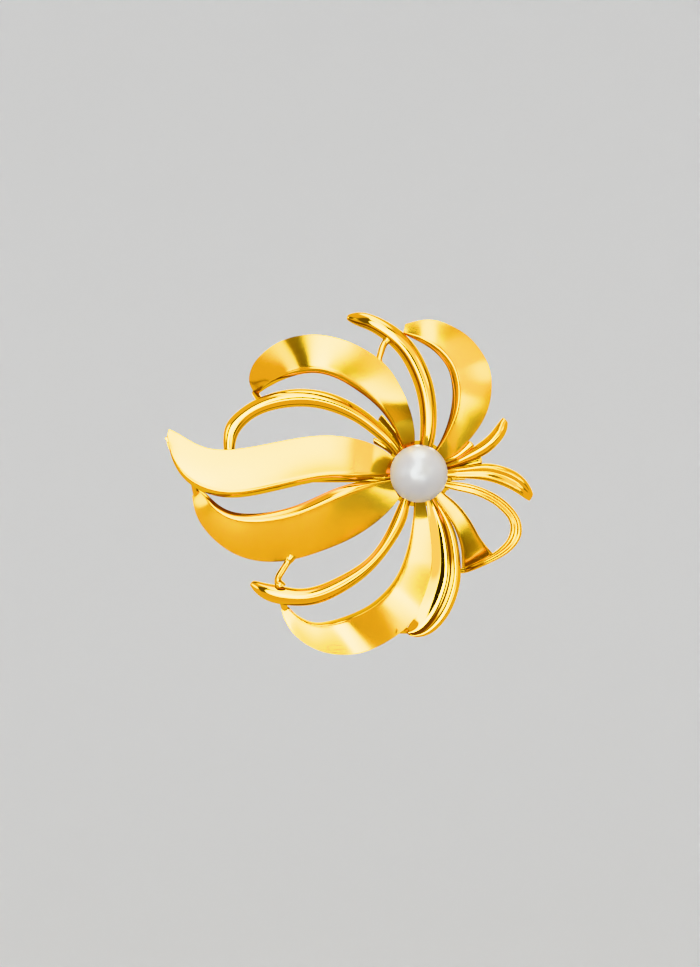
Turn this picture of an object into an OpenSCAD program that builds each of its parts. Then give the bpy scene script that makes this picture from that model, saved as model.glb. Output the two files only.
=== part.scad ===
// Spray brooch: leaves, rays and ribbons fanned out round one pearl,
// with a hinged pin and a locking catch behind.
// The leaves are drawn on the face: x to the right, y up, h towards the viewer.
// The pearl's axis is x = y = 0 and the pin's axis is h = 0.
// stand_up() then turns the face upright, towards -Y.

/* [Overall] */
// Width across the spray, from tip to tip
brooch_w = 44.7; // [38:0.1:54]
// Height across the spray
brooch_h = 41.8; // [35:0.1:50.5]
// How far the leaves' roots stand in front of the pin's axis
face_h = 4.1; // [3.4:0.1:5]
// How far the leaves arch above their roots and fall to their tips, as a multiple of the drawn arch
arch = 1; // [0.8:0.05:1.2]

/* [Leaves] */
// Thickness of the leaves' sheet
sheet_t = 0.45; // [0.35:0.05:0.6]
// How far a leaf's edge wall turns down
wall_drop = 0.9; // [0.6:0.05:1.2]
// How far a leaf's edge wall leans out
wall_lean = 0.45; // [0.3:0.05:0.6]
// Height of a ray's half-round crest
ray_rise = 0.95; // [0.7:0.05:1.2]
// Thickness of the strip under a ray's crest
ray_base = 0.4; // [0.3:0.05:0.5]
// Diameter of the strut wires
strut_d = 0.9; // [0.7:0.05:1.2]

/* [Hub and pearl] */
// Diameter of the pearl
pearl_d = 7; // [5.5:0.1:8.5]
// Diameter of the hub that the leaves are soldered into
hub_d = 8.2; // [6.8:0.1:10]
// Thickness of the hub
hub_t = 2; // [1.6:0.1:2.6]
// Diameter of the pearl's peg
peg_d = 0.8; // [0.6:0.05:1]
// Wall of the cup under the pearl, at its rim
cup_wall = 0.4; // [0.3:0.05:0.5]
// How deep the pearl sinks into its cup
cup_depth = 0.9; // [0.7:0.05:1.1]
// Gap for the cement under the pearl
cement = 0.03; // [0.02:0.01:0.05]

/* [Pin and hinge] */
// Diameter of the pin's stem
pin_d = 0.8; // [0.65:0.05:0.95]
// Length of the pin's sharpened point
point_l = 4.6; // [3.5:0.1:6]
// Width of the eye that the pin turns on
eye_w = 1.2; // [0.9:0.05:1.3]
// Thickness of each hinge ear
ear_t = 0.6; // [0.45:0.05:0.7]
// Outer diameter of the eye
eye_d = 1.9; // [1.6:0.1:2.2]
// Diameter of the hinge rivet
rivet_d = 0.7; // [0.5:0.05:0.8]
// Radial play of the pin's eye on the rivet
hinge_play = 0.05; // [0.03:0.01:0.08]
// How far the pin's sharpened point starts before the catch
point_before = 0.57; // [0.3:0.01:1]

/* [Catch] */
// Length of the catch's housing along the pin
catch_l = 2; // [1.6:0.1:2.4]
// Clearance round the pin in the turning sleeve
pin_gap = 0.1; // [0.08:0.01:0.15]
// Wall of the turning sleeve
sleeve_wall = 0.42; // [0.35:0.01:0.5]
// Wall of the housing
housing_wall = 0.4; // [0.3:0.05:0.5]
// Running play between sleeve and housing
sleeve_play = 0.05; // [0.03:0.01:0.08]
// How far the sleeve's lever stands out of it
lever_l = 1.3; // [1:0.1:1.8]
// Thickness of the lever
lever_t = 0.3; // [0.25:0.05:0.35]

/* [Hidden] */
$fn = 64;

gold = "gold";
satin = "goldenrod";
wire = "darkgoldenrod";

// The outlines below are drawn at this size.
// They are stretched to the overall sizes about the pearl's axis.
drawn_w = 44.7;
drawn_h = 41.8;
kx = brooch_w / drawn_w;
ky = brooch_h / drawn_h;

pin_y = -0.66 * ky;
hub_r = hub_d / 2;
// How far the hub's back stands behind the leaves' roots
hub_behind = 1.5;
hub_back = face_h - hub_behind;
hub_top = hub_back + hub_t;
pearl_r = pearl_d / 2;
// How far the pearl sinks into the hub itself, below its cup
pearl_sink = 0.25;
pearl_h = hub_top + pearl_r - pearl_sink;
peg_r = peg_d / 2;
pin_r = pin_d / 2;

// ---- outlines: [left x, left y, right x, right y], from the root in the hub to the tip ----
left_upper = [[-2.4, 1.5, -2.7, -0.1], [-5, 3.4, -5, -0.05], [-7.8, 4.3, -8.1, -0.17],
  [-11, 4.65, -11.2, -0.13],
  [-14, 4.4, -14.4, -0.75], [-17, 3.85, -17.6, -1.5], [-20, 3.25, -20.6, -2.15], [-23, 2.85, -23.4, -2.35],
  [-25.5, 2.95, -26, -1.75], [-27.6, 3.8, -28.2, -0.5], [-29.3, 4.9, -29.9, 1.7], [-30.4, 5.4, -30.6, 4.5]];
left_lower = [[-2.5, -0.7, -1.8, -2.1], [-4.6, -1, -3, -4], [-7, -1.7, -5.2, -6.05], [-10, -2.8, -8.2, -8],
  [-13, -4.2, -11.4, -9.3], [-16, -5.25, -15, -10.5], [-19, -5.7, -18.6, -10.85],
  [-21.6, -5.65, -22, -10.1],
  [-23.6, -5.05, -24.6, -8.4], [-25.2, -3.8, -26.4, -6.4], [-26.1, -2.6, -27.3, -4.6],
  [-26.8, -2.05, -27.6, -2.7]];
upper_left = [[-1.5, 2.3, -0.5, 2.6], [-2.2, 4.4, -0.45, 5], [-3.6, 6.9, -1, 7.6], [-5.2, 8.8, -2.1, 10.2],
  [-7.2, 10.45, -3.7, 12.8], [-9.3, 11.75, -6, 14.7], [-11.4, 12.5, -9, 16.1], [-13.4, 12.65, -12.3, 16.8],
  [-15.3, 12.3, -15.4, 16.55], [-16.9, 11.7, -18, 15.35], [-18.1, 11.05, -20, 13.55],
  [-19, 10.4, -20.7, 11.5],
  [-19.8, 9.65, -20.2, 10.1]];
top_right = [[1.7, 2.2, 2.8, 1.2], [2.6, 3.2, 4, 1.8], [3.6, 4.9, 6.1, 3.9], [4.4, 6.8, 7.6, 5.9],
  [4.8, 8.8, 8.6, 8], [4.85, 10.5, 8.97, 10.5], [4.5, 12.4, 8.7, 12.8], [3.8, 13.7, 7.8, 14.7],
  [2.8, 14.9, 6.2, 16.7], [1.6, 15.8, 4.2, 17.95], [0.3, 16.45, 2, 18.75], [-0.8, 16.85, 0, 18.65],
  [-1.8, 17.2, -1.6, 18.2]];
bottom = [[-0.35, -2.7, 0.6, -2.6], [-0.45, -4.6, 1, -4.3], [-0.7, -7, 1.4, -7], [-1.1, -9.2, 1.65, -10],
  [-1.8, -11.5, 1.35, -12.9], [-2.8, -13.4, 0.45, -15.5], [-4.2, -15.1, -0.7, -17.9],
  [-5.8, -16.4, -2.4, -19.5],
  [-7.6, -17.35, -4.8, -21.05], [-9.6, -18.1, -7.6, -22], [-11.6, -18.5, -10.6, -22.05],
  [-13.2, -18.35, -13.2, -21.1], [-14.7, -17.55, -15.2, -19.6], [-15.7, -16.7, -16.4, -17.6],
  [-16.1, -16.3, -16.7, -16.4]];
bottom_right = [[0.8, -2.6, 1.6, -2.3], [1.2, -4.2, 2.5, -3.6], [1.5, -6.4, 3.9, -5.6],
  [1.7, -8.5, 4.75, -7.9],
  [1.8, -10.5, 5.1, -10.4], [1.65, -12.2, 5.2, -12.6], [1.2, -13.6, 4.8, -14.6], [0.65, -15, 4.1, -16.5],
  [0, -16.5, 3, -18.2], [-0.6, -17.7, 1.6, -19.5], [-1.1, -18.6, 0, -20], [-1.6, -19.1, -1.2, -19.7]];
lower_right = [[1.7, -2.2, 2.3, -1.6], [2.4, -3.4, 3.3, -2.5], [3.5, -5.1, 4.7, -3.6],
  [4.35, -6.5, 5.9, -5],
  [4.95, -8, 6.8, -6.4], [5.25, -9.3, 7.5, -7.7], [5.35, -10.6, 8.4, -8.9], [5.35, -11.8, 9.5, -10.1]];
loop_right = [[2.9, -0.8, 2.6, -1.5], [4.4, -0.98, 4.3, -2], [6.2, -1.23, 6, -2.35], [8, -1.8, 7.4, -2.8],
  [9.8, -2.7, 9, -3.6], [11.3, -3.95, 10.2, -4.6], [12.4, -5.5, 11.1, -5.75], [12.65, -7.3, 11.2, -7],
  [11.9, -8.8, 10.8, -8.1], [10.6, -9.95, 10, -9], [9, -10.8, 8.8, -9.9], [7.4, -11.55, 7.2, -10.7],
  [6, -12.1, 5.9, -11.3], [5.2, -12.2, 5.2, -11.6]];
ray_b = [[-2.7, 2, -2, 2.8], [-3.6, 3.2, -2.9, 4.3], [-5.4, 4.6, -5.2, 6.75], [-7.4, 6.15, -7.6, 8.45],
  [-9.8, 7.3, -10.2, 9.7], [-12.8, 8.15, -13.2, 10.35], [-16, 8.1, -16.2, 10.25], [-18.6, 7.5, -18.9, 9.5],
  [-20.3, 6.65, -21, 8.4], [-21.6, 5.4, -22.9, 6.85], [-22.25, 4.1, -23.8, 5.2], [-22.4, 2.5, -23.7, 2.5]];
ray_o = [[0.2, 2.7, 1.3, 2.3], [0.15, 4, 1.95, 3.6], [0.25, 6, 2.25, 5.9], [0.1, 8.3, 2.25, 8.2],
  [-0.4, 10.5, 1.9, 10.7], [-1.2, 12.5, 1.1, 13], [-2.2, 14.3, -0.1, 15.3], [-3.5, 15.7, -1.7, 17.1],
  [-4.9, 16.8, -3.5, 18.4], [-6.3, 17.6, -5.6, 19.4], [-7.7, 18.1, -7.3, 19.75], [-8.8, 18.85, -8.6, 19.4]];
ray_m = [[2.6, 0.95, 2.7, 0.55], [4, 1.5, 4.3, 0.85], [5.6, 2.5, 6.2, 1.5], [7.2, 3.6, 8, 2.15],
  [8.5, 4.6, 9.3, 3.15], [9.4, 5.75, 10.3, 4.3], [9.95, 6.45, 10.8, 5.3], [10.3, 6.85, 10.9, 6.3]];
ray_l = [[2.7, 0.4, 2.8, -0.4], [4.2, 0.7, 4.2, -0.55], [6.2, 0.98, 6.2, -0.62], [8.2, 1.3, 8, -0.8],
  [10, 1, 9.5, -1.2], [11.7, 0.4, 11, -1.8], [13, -0.6, 12.3, -2.55], [13.8, -1.8, 13.1, -3.1],
  [14.05, -2.6, 13.6, -3.35]];
ray_g = [[-1, -2.7, -1.8, -2.4], [-1.1, -4.7, -2.6, -4.2], [-1.8, -6.6, -3.4, -6.1], [-3, -8.6, -4.6, -8.4],
  [-4.6, -10.8, -6.2, -10.4], [-6.6, -12.8, -8.2, -11.75], [-9, -14.4, -10.4, -12.9],
  [-11.6, -15.75, -12.6, -13.8],
  [-14.2, -16.2, -14.8, -14.1], [-17, -15.95, -17, -13.6], [-18.9, -15.35, -18.6, -13.4],
  [-20.1, -14.3, -19.7, -13.1],
  [-20.6, -13.5, -20.2, -13.1]];
strip_n = [[2.3, 1.6, 2.8, 1.1], [4.4, 2.3, 4.85, 1.8], [6.2, 4.1, 6.9, 3.4]];

// ---- heights over the roots, spread evenly from root to tip ----
rise_left_upper = [-0.3, 1.2, 1.5, 1.5, 1.3, 1, 0.65, 0.2, -0.4];
rise_left_lower = [-0.2, 0.1, 0.2, 0.2, 0, -0.5, -1.2];
rise_upper_left = [-0.3, 0.9, 2, 2.85, 3.4, 3.75, 3.95, 4.05, 4, 3.75, 3.2, 2.4, 1.4, 0.4, -0.6,
  -1.5, -2.2];
rise_top_right = [0, 0.9, 1.5, 1.6, 1.4, 1, 0.4];
rise_bottom = [0, 1.1, 1.9, 2.1, 1.5, 0.2, -0.2, -0.6, -1.1];
rise_bottom_right = [0, 0.5, 0.7, 0.7, 0.4, -0.1];
rise_lower_right = [0, -0.6, -1.6, -2.5];
rise_loop = [-0.5, 0, 0.2, 0, -0.9, -2.3];
rise_ray_b = [-0.5, 0, 0.4, 0.4, 0.2, -0.1, -0.25];
rise_ray_o = [-0.5, 0, 0.4, 0.5, 0.1, -0.8];
rise_ray_m = [-0.4, 0.2, 0.6, 0.5];
rise_ray_l = [-0.5, -0.1, -0.2, -0.9];
rise_ray_g = [-0.6, -0.1, 0.1, -0.2, -0.7, -1.3];
rise_strip = [-0.1, 0.3, 0.6];
// ---- how much higher each leaf's right side is than its left, and how far it bows up between them ----
tilt_left_upper = [0.2, 0.7, 0.7, 0.6, 0.6, 0.4, 0.1];
tilt_left_lower = [-0.1, -2.2, -2.8, -2.4, -1.8, -0.3];
tilt_upper_left = [0, -0.2, -0.3, -0.2, 0];
tilt_top_right = [-0.1, -1.2, -1.5, -1.4, -1, -0.2];
tilt_bottom = [0.1, 0.2, 0.25, 0.25, 0.4, 0.3, 0.1];
bow_leaf = [0.05, 0.1, 0.15, 0.15, 0.03];
bow_trough = [-0.1, -0.6, -0.6, -0.5, -0.1];
flat_all = [0, 0];

// ---- curves ----
// A smooth curve through the points p, at the share t of the way along them
function curve(p, t) =
  let (last = len(p) - 1, x = min(max(t, 0), 1) * last, i = min(floor(x), last - 1), f = x - i,
       a = p[max(i - 1, 0)], b = p[i], c = p[i + 1], d = p[min(i + 2, last)])
  0.5 * (2 * b + (c - a) * f + (2 * a - 5 * b + 4 * c - d) * f * f + (3 * b - a - 3 * c + d) * f * f * f);

function left_of(rails, t) = let (k = curve(rails, t)) [k[0] * kx, k[1] * ky];
function right_of(rails, t) = let (k = curve(rails, t)) [k[2] * kx, k[3] * ky];
function height_of(rise, t) = face_h + arch * curve(rise, t);

// One section's point. e is [share of the width, mm past it, share of the bow, mm of height]
function section_point(rails, rise, tilt, bow, t, e) =
  let (p = left_of(rails, t), q = right_of(rails, t), out = (q - p) / norm(q - p), b = curve(bow, t),
       side = curve(tilt, t) * (e[0] - 0.5), at = p + (q - p) * e[0] + out * e[1])
  [at[0], at[1], height_of(rise, t) + side + b * e[2] + e[3]];

// ---- section profiles: the outer side from left to right, then the inner side back ----
leaf_steps = 5;
ray_steps = 8;
function arc_share(u) = 4 * u * (1 - u);
function leaf_outer() = [for (i = [0:leaf_steps]) let (u = i / leaf_steps) [u, 0, arc_share(u), 0]];
function leaf_inner() =
  [for (i = [leaf_steps:-1:0]) let (u = i / leaf_steps) [u, 0, arc_share(u), -sheet_t]];
wall_left_outer = [[0, -wall_lean, 0, -wall_drop]];
wall_left_inner = [[0, sheet_t - wall_lean, 0, -wall_drop]];
leaf = concat(leaf_outer(), leaf_inner());
walled_leaf = concat(wall_left_outer, leaf_outer(), leaf_inner(), wall_left_inner);
function ray_angle(i) = 180 * i / ray_steps;
ray = concat(
  [for (i = [0:ray_steps]) [(1 - cos(ray_angle(i))) / 2, 0, sin(ray_angle(i)), 0]],
  [for (i = [ray_steps:-1:0]) [(1 - cos(ray_angle(i))) / 2, 0, 0, -ray_base]]);

// A strip between two rails, swept as one closed solid
module strip(rails, rise, tilt, bow, profile, steps) {
  m = len(profile);
  rings = [for (i = [0:steps]) [for (e = profile) section_point(rails, rise, tilt, bow, i / steps, e)]];
  points = [for (r = rings) each r];
  across = right_of(rails, 0.5) - left_of(rails, 0.5);
  along = left_of(rails, 0.6) - left_of(rails, 0.4);
  turned = along[0] * across[1] - along[1] * across[0] > 0;
  sides = [for (i = [0:steps - 1], j = [0:m - 1])
    let (a = i * m + j, b = i * m + (j + 1) % m, c = b + m, d = a + m) each [[a, b, c], [a, c, d]]];
  function cap(base) = [for (j = [0:m / 2 - 2])
    let (a = base + j, b = a + 1, c = base + m - 2 - j, d = c + 1) each [[a, c, b], [a, d, c]]];
  function back(faces) = [for (f = faces) [f[0], f[2], f[1]]];
  faces = concat(sides, cap(0), back(cap(steps * m)));
  polyhedron(points, turned ? back(faces) : faces);
}

// ---- placing ----
// How far inside the hub's rim the catch ends
catch_inset = 0.3;
catch_x = hub_r - catch_inset - catch_l;
point_start = catch_x - point_before;
hinge_share = 0.62;
hinge_x = (left_of(left_upper, hinge_share)[0] + right_of(left_upper, hinge_share)[0]) / 2;
stem_start = hinge_x + eye_d / 2;
stem_mid = (stem_start + point_start) / 2;

// Turns the drawn face upright and puts the origin half way along the pin's stem
module stand_up() {
  translate([-stem_mid, 0, -pin_y]) rotate([90, 0, 0]) children();
}

// A round wire along a smooth curve through a list of points, swept as one closed solid with flat ends
wire_sides = 10;
module wire_path(points, r, steps) {
  function at(i) = curve(points, i / steps);
  function aim(i) = let (v = at(min(i + 1, steps)) - at(max(i - 1, 0))) v / norm(v);
  function side(i) = let (v = cross(aim(i), [0, 0, 1])) v / norm(v);
  function ring_point(i, j) = let (a = 360 * j / wire_sides)
    at(i) + r * (side(i) * cos(a) + cross(side(i), aim(i)) * sin(a));
  tube = [for (i = [0:steps], j = [0:wire_sides - 1]) ring_point(i, j)];
  walls = [for (i = [0:steps - 1], j = [0:wire_sides - 1])
    let (a = i * wire_sides + j, b = i * wire_sides + (j + 1) % wire_sides)
    each [[a, b + wire_sides, b], [a, a + wire_sides, b + wire_sides]]];
  start = [for (j = [0:wire_sides - 1]) j];
  end = [for (j = [wire_sides - 1:-1:0]) steps * wire_sides + j];
  polyhedron(tube, concat(walls, [start, end]));
}

// A flat plate with its outline drawn on the face, between two heights
module plate(outline, low, high) {
  translate([0, 0, low]) linear_extrude(high - low) polygon([for (p = outline) [p[0] * kx, p[1] * ky]]);
}

// ---- pearl and hub ----
// The hollow that the pearl is cemented into
module pearl_seat() translate([0, 0, pearl_h]) sphere(r = pearl_r + cement);
module pearl() color("white") stand_up() difference() {
  translate([0, 0, pearl_h]) sphere(r = pearl_r);
  translate([0, 0, hub_top - pearl_r]) cylinder(h = 2 * pearl_r, r = peg_r);
}
// The peg stops short of the pearl's middle, and the cup narrows towards the hub
peg_short = 0.1;
cup_taper = 0.3;
module pearl_peg() color(wire) stand_up()
  translate([0, 0, hub_back])
    cylinder(h = hub_t + pearl_r - pearl_sink - peg_short, r = peg_r);
module pearl_cup() color(gold) stand_up() difference() {
  cup_r = sqrt(pearl_r * pearl_r - pow(pearl_r - cup_depth, 2)) + cup_wall;
  translate([0, 0, hub_top])
    cylinder(h = cup_depth - pearl_sink, r1 = cup_r - cup_taper, r2 = cup_r);
  pearl_seat();
}
module hub_boss() color(gold) stand_up() difference() {
  union() {
    edge = 0.5;
    translate([0, 0, hub_back]) cylinder(h = hub_t - edge, r = hub_r);
    translate([0, 0, hub_top - edge]) cylinder(h = edge, r1 = hub_r, r2 = hub_r - edge);
  }
  translate([0, 0, hub_back - 1]) cylinder(h = hub_t + 2, r = peg_r);
  pearl_seat();
}

// ---- leaves ----
module petal_left_upper() color(satin) stand_up()
  mirror_walled(left_upper, rise_left_upper, tilt_left_upper, bow_leaf, 20);
module petal_left_lower() color(satin) stand_up()
  strip(left_lower, rise_left_lower, tilt_left_lower, bow_leaf, walled_leaf, 20);
module petal_upper_left() color(satin) stand_up()
  strip(upper_left, rise_upper_left, tilt_upper_left, bow_leaf, walled_leaf, 26);
module petal_top_right() color(satin) stand_up()
  strip(top_right, rise_top_right, tilt_top_right, bow_leaf, walled_leaf, 20);
module petal_bottom() color(satin) stand_up()
  strip(bottom, rise_bottom, tilt_bottom, bow_leaf, walled_leaf, 26);
module petal_bottom_right() color(gold) stand_up()
  strip(bottom_right, rise_bottom_right, flat_all, bow_trough, leaf, 20);
module ribbon_lower_right() color(satin) stand_up()
  strip(lower_right, rise_lower_right, flat_all, flat_all, leaf, 14);

// A leaf whose edge wall is on its right side instead of its left
module mirror_walled(rails, rise, tilt, bow, steps) {
  swapped = [for (k = rails) [k[2], k[3], k[0], k[1]]];
  strip(swapped, rise, -tilt, bow, walled_leaf, steps);
}

// ---- rays ----
module crest(rails, rise, share, steps) {
  strip(rails, rise, flat_all, [for (s = share) s * ray_rise], ray, steps);
}
module loop_right() color(gold) stand_up()
  crest(loop_right, rise_loop, [0.5, 0.6, 0.6, 0.6, 0.6, 0.5, 0.4], 26);
module ray_upper_left() color(gold) stand_up() crest(ray_b, rise_ray_b, [0.8, 1.1, 1.1, 1, 0.8, 0.6], 20);
module ray_top() color(gold) stand_up() crest(ray_o, rise_ray_o, [0.8, 1, 1.1, 1.1, 0.8, 0.3], 20);
module ray_upper_right() color(gold) stand_up() crest(ray_m, rise_ray_m, [0.5, 0.8, 1, 0.4], 12);
module ray_right() color(gold) stand_up() crest(ray_l, rise_ray_l, [0.7, 0.9, 1, 0.5], 14);
module ray_lower_left() color(gold) stand_up() crest(ray_g, rise_ray_g, [0.8, 0.9, 1, 1.1, 0.9, 0.3], 20);
module strip_upper_right() color(gold) stand_up() crest(strip_n, rise_strip, [0.3, 0.35, 0.35], 6);

// ---- struts, ties and webs ----
// A point on the face at a share of the way along a leaf, across it, and below its top
function on_leaf(rails, rise, t, u, below) =
  let (p = left_of(rails, t) * (1 - u) + right_of(rails, t) * u) [p[0], p[1], height_of(rise, t) - below];
strut_r = strut_d / 2;
module strut_top() color(wire) stand_up() wire_path([
  on_leaf(upper_left, rise_upper_left, 0.36, 0.85, strut_r + 0.2),
  on_leaf(ray_o, rise_ray_o, 0.655, -0.55, 0.2),
  on_leaf(ray_o, rise_ray_o, 0.655, 0.25, 0.1)], strut_r, 8);
module strut_lower_left() color(wire) stand_up() wire_path([
  on_leaf(left_lower, rise_left_lower, 0.45, 0.9, strut_r + 0.5),
  on_leaf(ray_g, rise_ray_g, 0.74, 1.35, 0.1),
  on_leaf(ray_g, rise_ray_g, 0.72, 0.8, 0.1)], strut_r, 8);
tie_r = 0.4;
module tie_left() color(wire) stand_up() wire_path([
  on_leaf(left_lower, rise_left_lower, 0.96, 0.5, 0.45),
  on_leaf(left_upper, rise_left_upper, 0.79, 0.86, 0.75)], tie_r, 2);
module tie_upper_left() color(wire) stand_up() wire_path([
  on_leaf(upper_left, rise_upper_left, 0.99, 0.4, 0.3),
  on_leaf(ray_b, rise_ray_b, 0.655, 0.8, 0)], tie_r, 2);
module tie_lower_left() color(wire) stand_up() wire_path([
  on_leaf(bottom, rise_bottom, 0.98, 0.4, 0.3),
  on_leaf(ray_g, rise_ray_g, 0.735, 0.2, 0)], tie_r, 2);
module tie_bottom() color(wire) stand_up() wire_path([
  on_leaf(bottom_right, rise_bottom_right, 0.93, 0.3, 0.7),
  on_leaf(bottom, rise_bottom, 0.5, 0.85, 0.4)], tie_r, 2);
// How far the webs lie behind the leaves' roots
web_behind = 0.9;
web_h = face_h - web_behind;
web_t = 0.5;
module web_upper_left() color(wire) stand_up()
  plate([[-1.5, 2.2], [-2.4, 4.9], [-4.5, 7.4], [-5, 6.5], [-3.2, 4.6], [-1.9, 1.9]], web_h, web_h + web_t);
module web_middle_left() color(wire) stand_up()
  plate([[-2, 1.7], [-3.9, 3.9], [-5.7, 4.6], [-5.8, 3.9], [-2.4, 1.3]], web_h, web_h + web_t);
module web_right() color(wire) stand_up()
  plate([[2.6, 0.6], [6.4, 1.7], [7.7, 2.3], [7.9, 1.1], [6.4, 0.7], [2.6, 0.1]], web_h, web_h + web_t);

// ---- hinge and pin: the eye turns on the rivet between the two ears ----
solder = 0.2;
eye_gap = 0.05;
eye_r = eye_d / 2;
rivet_r = rivet_d / 2;
rivet_head = 0.25;
rivet_head_past = 0.2;
base_t = 0.5;
base_l = 3.4;
base_w = eye_w + 2 * ear_t + 2 * eye_gap;
// The hinge's base bears on the upper left leaf's back, this share of the way across it
seat_share = 0.72;
seat_sink = 0.1;
seat = section_point(left_upper, rise_left_upper, tilt_left_upper, bow_leaf, hinge_share,
  [seat_share, 0, arc_share(seat_share), -sheet_t])[2] - seat_sink;
// Laid along y with its middle at the hinge's axis
module along_y(r, w, y = 0) {
  translate([hinge_x, pin_y + y + w / 2, 0]) rotate([90, 0, 0]) cylinder(h = w, r = r);
}
module hinge_base() color(wire) stand_up()
  translate([hinge_x - base_l / 2, pin_y - base_w / 2, seat - base_t])
    cube([base_l, base_w, base_t + solder]);
module hinge_ear(side) {
  y = side * (eye_w / 2 + eye_gap + ear_t / 2);
  difference() {
    union() {
      along_y(eye_r, ear_t, y);
      translate([hinge_x - eye_r, pin_y + y - ear_t / 2, 0]) cube([eye_d, ear_t, seat - base_t]);
    }
    along_y(rivet_r, ear_t * 3, y);
  }
}
module hinge_ear_upper() color(wire) stand_up() hinge_ear(1);
module hinge_ear_lower() color(wire) stand_up() hinge_ear(-1);
module hinge_rivet() color("silver") stand_up() {
  along_y(rivet_r, base_w);
  for (side = [-1, 1]) along_y(rivet_r + rivet_head_past, rivet_head, side * (base_w + rivet_head) / 2);
}
module pin_eye() color("silver") stand_up() difference() {
  along_y(eye_r, eye_w);
  along_y(rivet_r + hinge_play, eye_w * 2);
}
// The stem starts at this share of the eye's radius, inside it
stem_into_eye = 0.6;
tip_r = 0.08;
module pin_stem() color("silver") stand_up() translate([0, pin_y, 0]) difference() {
  union() {
    translate([hinge_x + eye_r * stem_into_eye, 0, 0]) rotate([0, 90, 0])
      cylinder(h = point_start - hinge_x - eye_r * stem_into_eye, r = pin_r);
    translate([point_start, 0, 0]) rotate([0, 90, 0]) cylinder(h = point_l, r1 = pin_r, r2 = tip_r);
  }
  translate([hinge_x, eye_w, 0]) rotate([90, 0, 0]) cylinder(h = eye_w * 2, r = eye_r);
}

// ---- catch: a C-shaped housing with a slotted sleeve that turns in it ----
flange_t = 0.3;
flange_past = 0.2;
end_play = 0.05;
sleeve_in = pin_r + pin_gap;
sleeve_r = sleeve_in + sleeve_wall;
housing_in = sleeve_r + sleeve_play;
housing_r = housing_in + housing_wall;
sleeve_l = catch_l + 2 * (flange_t + end_play);
slot_play = 0.16;
slot_w = pin_d + slot_play;
opening_a = 60;
lever_a = 50;
module along_x(r, l, x) translate([x, pin_y, 0]) rotate([0, 90, 0]) cylinder(h = l, r = r);
module catch_housing() color(wire) stand_up()
  translate([catch_x, pin_y, 0]) rotate([0, 90, 0]) rotate([0, 0, opening_a])
    rotate_extrude(angle = 360 - 2 * opening_a) translate([housing_in, 0]) square([housing_wall, catch_l]);
// The post is narrower than the housing and starts inside the housing's crown
post_w = 1.4 * housing_r;
post_start = 0.5 * housing_r;
module catch_post() color(wire) stand_up() difference() {
  translate([catch_x, pin_y - post_w / 2, post_start])
    cube([catch_l, post_w, hub_back - post_start]);
  along_x(housing_r, catch_l + 2, catch_x - 1);
}
module catch_sleeve() color("silver") stand_up() difference() {
  union() {
    along_x(sleeve_r, sleeve_l, catch_x - end_play - flange_t);
    for (x = [catch_x - end_play - flange_t, catch_x + catch_l + end_play])
      along_x(housing_in + flange_past, flange_t, x);
  }
  along_x(sleeve_in, sleeve_l + 2, catch_x - 1);
  translate([catch_x - 1, pin_y - slot_w / 2, -2 * housing_r]) cube([sleeve_l + 2, slot_w, 2 * housing_r]);
}
lever_w = 0.4 * catch_l;
module catch_lever() color("silver") stand_up() difference() {
  reach = sleeve_r + lever_l;
  translate([catch_x + catch_l / 2, pin_y, 0]) rotate([-lever_a, 0, 0]) {
    translate([-lever_w / 2, -lever_t / 2, -reach]) cube([lever_w, lever_t, reach]);
    translate([0, 0, -reach]) sphere(r = lever_w / 2);
  }
  along_x(sleeve_r, catch_l, catch_x);
}

pearl();
pearl_peg();
pearl_cup();
hub_boss();
petal_left_upper();
petal_left_lower();
petal_upper_left();
petal_top_right();
petal_bottom();
petal_bottom_right();
ribbon_lower_right();
loop_right();
ray_upper_left();
ray_top();
ray_upper_right();
ray_right();
ray_lower_left();
strip_upper_right();
strut_top();
strut_lower_left();
tie_left();
tie_upper_left();
tie_lower_left();
tie_bottom();
web_upper_left();
web_middle_left();
web_right();
hinge_base();
hinge_ear_upper();
hinge_ear_lower();
hinge_rivet();
pin_eye();
pin_stem();
catch_post();
catch_housing();
catch_sleeve();
catch_lever();
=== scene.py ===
"""Spray brooch: satin leaves and polished rays round one pearl, with its hinged pin and catch."""
import math

import bpy
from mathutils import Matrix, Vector


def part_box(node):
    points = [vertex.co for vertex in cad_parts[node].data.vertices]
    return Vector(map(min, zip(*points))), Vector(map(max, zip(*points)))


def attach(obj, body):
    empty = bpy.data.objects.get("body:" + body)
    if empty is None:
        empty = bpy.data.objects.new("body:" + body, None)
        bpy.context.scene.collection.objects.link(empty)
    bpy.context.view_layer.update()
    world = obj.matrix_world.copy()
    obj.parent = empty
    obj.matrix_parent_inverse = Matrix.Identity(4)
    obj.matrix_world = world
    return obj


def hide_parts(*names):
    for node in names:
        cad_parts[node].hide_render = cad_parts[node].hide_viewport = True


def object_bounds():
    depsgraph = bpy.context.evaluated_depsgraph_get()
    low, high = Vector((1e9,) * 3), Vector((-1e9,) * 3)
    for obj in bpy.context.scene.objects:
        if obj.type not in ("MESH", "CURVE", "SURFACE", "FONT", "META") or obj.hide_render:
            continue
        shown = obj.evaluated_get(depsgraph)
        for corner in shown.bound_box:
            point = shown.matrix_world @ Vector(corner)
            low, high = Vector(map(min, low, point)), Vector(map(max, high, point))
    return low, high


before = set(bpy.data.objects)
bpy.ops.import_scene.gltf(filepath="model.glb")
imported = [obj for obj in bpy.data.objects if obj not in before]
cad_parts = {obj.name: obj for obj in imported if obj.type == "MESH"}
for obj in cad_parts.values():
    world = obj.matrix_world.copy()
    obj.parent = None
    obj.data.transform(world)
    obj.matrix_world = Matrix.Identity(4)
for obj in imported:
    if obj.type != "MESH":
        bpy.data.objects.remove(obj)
cad_low, cad_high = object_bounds()

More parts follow.
